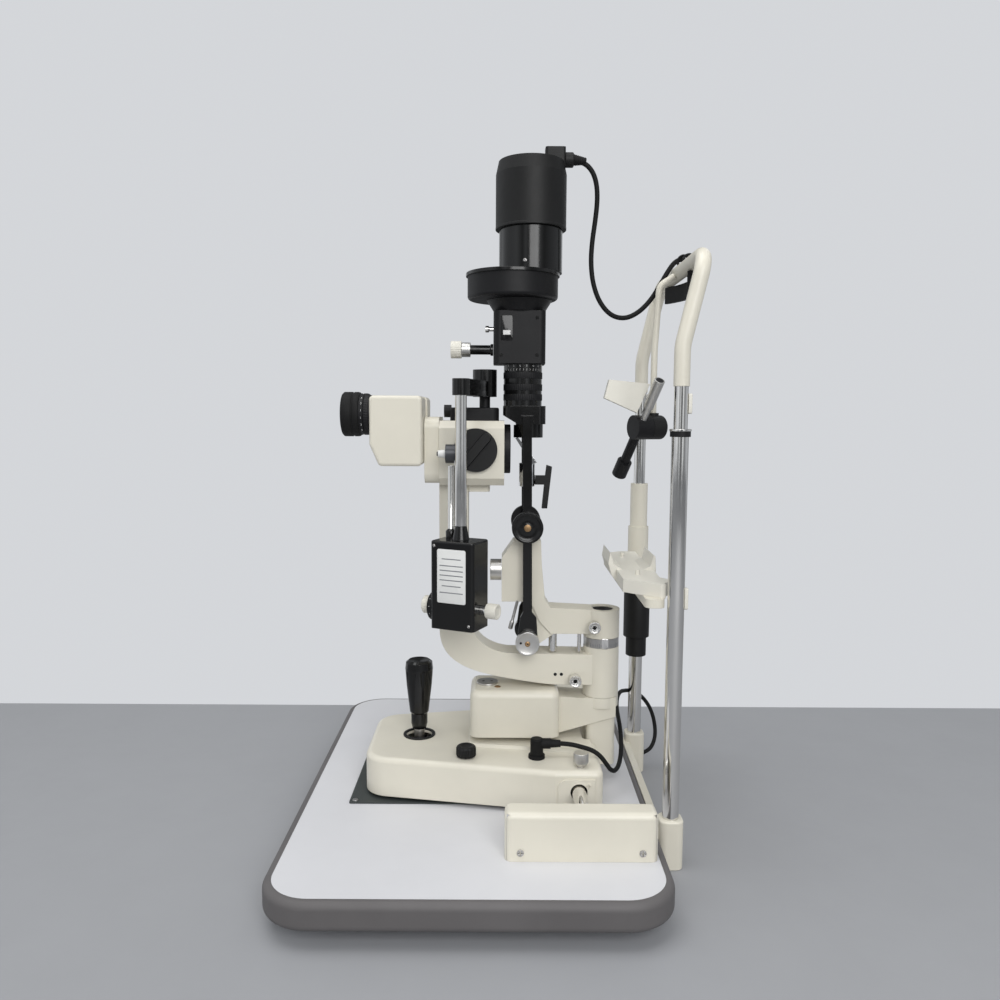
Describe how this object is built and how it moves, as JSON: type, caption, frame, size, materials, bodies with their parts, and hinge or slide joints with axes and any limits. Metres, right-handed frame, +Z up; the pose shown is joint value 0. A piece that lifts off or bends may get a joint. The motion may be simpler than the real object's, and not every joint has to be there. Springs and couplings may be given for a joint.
{
  "type": "slit lamp on table top",
  "caption": "Slit lamp: cream base with joystick on toothed rails, microscope with tonometer, black lamp tower on a swing arm, and a chrome headrest clamped to a white table top.",
  "frame": {"origin": "centre of the table top's underside", "axes": "+X towards the patient's headrest, +Y towards the far side, +Z up out of the table top"},
  "size_m": [0.4285, 0.536, 0.752],
  "materials": {
    "aluminium": "satin",
    "black_gloss": "gloss",
    "black_metal": "satin",
    "black_plastic": "matte",
    "brass": "satin",
    "chrome": "polished",
    "cream": "satin",
    "cream_plastic": "satin",
    "edging": "matte",
    "laminate": "satin",
    "mirror": "polished",
    "rubber": "matte",
    "slide_mat": "matte",
    "steel": "satin"
  },
  "bodies": {
    "table": {"table_top": "laminate", "table_edging": "edging", "slide_plate": "slide_mat", "rails": "steel", "rail_covers": "cream", "table_screws": "steel", "headrest_frame": "cream", "headrest_columns": "chrome", "head_arch": "cream", "forehead_band": "rubber", "fixation_rod": "cream"},
    "axle": {"axle_tube": "chrome"},
    "wheels": {"wheel_pair": "steel"},
    "base": {"base_housing": "cream", "base_pan": "black_metal", "base_side_panels": "cream", "lift_column": "steel", "base_plug": "rubber", "joystick_bezel": "black_plastic"},
    "base_lock": {"base_lock_knob": "black_plastic"},
    "axle_lock": {"axle_lock_knob": "aluminium"},
    "gimbal": {"joystick_gimbal": "brass"},
    "stick": {"joystick_shaft": "steel"},
    "grip": {"joystick_grip": "black_plastic"},
    "carrier": {"height_carrier": "cream", "carrier_cap": "aluminium", "axis_shaft": "steel"},
    "microscope": {"microscope_arm": "cream", "angle_scale": "steel", "microscope_body": "cream", "objective": "black_metal", "tonometer_mount": "black_metal"},
    "mic_lock": {"microscope_lock_knob": "chrome"},
    "lamp_lock": {"illumination_lock_knob": "chrome"},
    "mag": {"magnification_knobs": "black_plastic"},
    "prism_near": {"prism_housing_near": "cream"},
    "prism_far": {"prism_housing_far": "cream"},
    "eye_near": {"eyepiece_near": "black_metal"},
    "eye_far": {"eyepiece_far": "black_metal"},
    "tono_arm": {"tonometer_arm": "black_gloss", "tonometer_body": "black_gloss"},
    "tono_drum": {"tonometer_drum": "black_metal"},
    "tono_feeler": {"tonometer_feeler": "chrome"},
    "illumination": {"illumination_arm": "cream", "tilt_fork": "black_gloss", "mirror_unit": "mirror", "lens_barrel": "black_gloss", "filter_housing": "black_metal", "lamp_housing": "black_gloss", "lamp_cap": "black_plastic"},
    "centring": {"centring_knob": "chrome"},
    "slit_width": {"slit_width_knobs": "black_metal"},
    "diffuser_flap": {"diffuser": "black_plastic"},
    "disc": {"filter_disc": "black_metal"},
    "slit": {"slit_control": "black_metal"},
    "fix_joint": {"fixation_joint": "black_plastic"},
    "fix_lamp": {"fixation_lamp": "black_metal"},
    "chin": {"chin_carrier": "cream", "chin_cup": "cream_plastic"},
    "chin_nut": {"chin_knob": "black_plastic"}
  },
  "joints": [
    {"name": "axle_roll", "type": "slide", "parent": "table", "child": "axle", "axis": [1, 0, 0], "range_m": [-0.05, 0.04]},
    {"name": "wheel_turn", "type": "hinge", "parent": "axle", "child": "wheels", "pos_m": [0.111, 0, 0.054], "axis": [0, 1, 0], "range_deg": [-181, 146]},
    {"name": "base_slide", "type": "slide", "parent": "axle", "child": "base", "axis": [0, 1, 0], "range_m": [-0.05, 0.05]},
    {"name": "base_lock", "type": "hinge", "parent": "base", "child": "base_lock", "pos_m": [-0.009, -0.064, 0.08], "axis": [0, 0, 1], "range_deg": [-120, 0]},
    {"name": "axle_lock", "type": "hinge", "parent": "base", "child": "axle_lock", "pos_m": [0.114, -0.09, 0.08], "axis": [0, 0, 1], "range_deg": [-180, 0]},
    {"name": "joystick_fore_aft", "type": "hinge", "parent": "base", "child": "gimbal", "pos_m": [-0.066, 0, 0.06], "axis": [0, 1, 0], "range_deg": [-8, 8]},
    {"name": "joystick_side", "type": "hinge", "parent": "gimbal", "child": "stick", "pos_m": [-0.066, 0, 0.06], "axis": [1, 0, 0], "range_deg": [-8, 8]},
    {"name": "joystick_twist", "type": "hinge", "parent": "stick", "child": "grip", "pos_m": [-0.066, 0, 0.12], "axis": [0, 0, 1], "range_deg": [-75, 650]},
    {"name": "lift", "type": "slide", "parent": "base", "child": "carrier", "axis": [0, 0, 1], "range_m": [-0.003, 0.027]},
    {"name": "microscope_swing", "type": "hinge", "parent": "carrier", "child": "microscope", "pos_m": [0.144, 0, 0.15], "axis": [0, 0, -1], "range_deg": [-60, 60]},
    {"name": "illumination_swing", "type": "hinge", "parent": "carrier", "child": "illumination", "pos_m": [0.144, 0, 0.21], "axis": [0, 0, -1], "range_deg": [-60, 60]},
    {"name": "microscope_lock", "type": "hinge", "parent": "microscope", "child": "mic_lock", "pos_m": [0.1125, -0.02, 0.149], "axis": [0, 1, 0], "range_deg": [-180, 0]},
    {"name": "illumination_lock", "type": "hinge", "parent": "illumination", "child": "lamp_lock", "pos_m": [0.133, -0.022, 0.211], "axis": [0, 1, 0], "range_deg": [-180, 0]},
    {"name": "magnification", "type": "hinge", "parent": "microscope", "child": "mag", "pos_m": [0, 0, 0.409], "axis": [0, 1, 0], "continuous": true},
    {"name": "prism_spread_near", "type": "hinge", "parent": "microscope", "child": "prism_near", "pos_m": [-0.056, -0.018, 0.409], "axis": [1, 0, 0], "range_deg": [-6, 6]},
    {"name": "prism_spread_far", "type": "hinge", "parent": "microscope", "child": "prism_far", "pos_m": [-0.056, 0.018, 0.409], "axis": [1, 0, 0], "range_deg": [-6, 6]},
    {"name": "dioptre_near", "type": "hinge", "parent": "prism_near", "child": "eye_near", "pos_m": [-0.12, -0.032, 0.447], "axis": [1, 0, 0], "range_deg": [-120, 120]},
    {"name": "dioptre_far", "type": "hinge", "parent": "prism_far", "child": "eye_far", "pos_m": [-0.12, 0.032, 0.447], "axis": [1, 0, 0], "range_deg": [-120, 120]},
    {"name": "tonometer_swing", "type": "hinge", "parent": "microscope", "child": "tono_arm", "pos_m": [0.009, 0, 0.475], "axis": [0, 0, 1], "range_deg": [-10, 35]},
    {"name": "tonometer_dial", "type": "hinge", "parent": "tono_arm", "child": "tono_drum", "pos_m": [-0.015, -0.086, 0.246], "axis": [0.9063, -0.4226, 0], "range_deg": [-20, 290]},
    {"name": "tonometer_rock", "type": "hinge", "parent": "tono_arm", "child": "tono_feeler", "pos_m": [-0.02, -0.07, 0.318], "axis": [0, 1, 0], "range_deg": [-1.5, 1.5]},
    {"name": "centring", "type": "hinge", "parent": "illumination", "child": "centring", "pos_m": [0.022, -0.005, 0.272], "axis": [1, 0, 0], "range_deg": [-180, 180]},
    {"name": "slit_width", "type": "hinge", "parent": "illumination", "child": "slit_width", "pos_m": [0.057, 0, 0.324], "axis": [0, 1, 0], "range_deg": [0, 170]},
    {"name": "diffuser_flip", "type": "hinge", "parent": "illumination", "child": "diffuser_flap", "pos_m": [0.057, 0, 0.374], "axis": [0, 0, 1], "range_deg": [-50, 0]},
    {"name": "filter_turn", "type": "hinge", "parent": "illumination", "child": "disc", "pos_m": [0.0395, 0, 0.59], "axis": [0, 0, 1], "continuous": true},
    {"name": "slit_height", "type": "hinge", "parent": "illumination", "child": "slit", "pos_m": [0, 0, 0.519], "axis": [1, 0, 0], "range_deg": [-90, 90]},
    {"name": "fixation_swing", "type": "hinge", "parent": "table", "child": "fix_joint", "pos_m": [0.198, 0, 0.44], "axis": [0, 0, 1], "range_deg": [-80, 80]},
    {"name": "fixation_tilt", "type": "hinge", "parent": "fix_joint", "child": "fix_lamp", "pos_m": [0.202, -0.001, 0.434], "axis": [-0.9272, -0.3746, 0], "range_deg": [-45, 45]},
    {"name": "chin_lift", "type": "slide", "parent": "table", "child": "chin", "axis": [0, 0, 1], "range_m": [-0.02, 0.035]},
    {"name": "chin_nut_turn", "type": "hinge", "parent": "table", "child": "chin_nut", "pos_m": [0.204, 0.12, 0.19], "axis": [0, 0, 1], "range_deg": [-2410, 4215]}
  ],
  "couplings": [
    {"joint": "wheel_turn", "follows": "axle_roll", "rad_per_m": 62.832},
    {"joint": "joystick_twist", "follows": "lift", "rad_per_m": 418.88},
    {"joint": "prism_spread_far", "follows": "prism_spread_near", "ratio": -1},
    {"joint": "chin_nut_turn", "follows": "chin_lift", "rad_per_m": 2094.4}
  ]
}
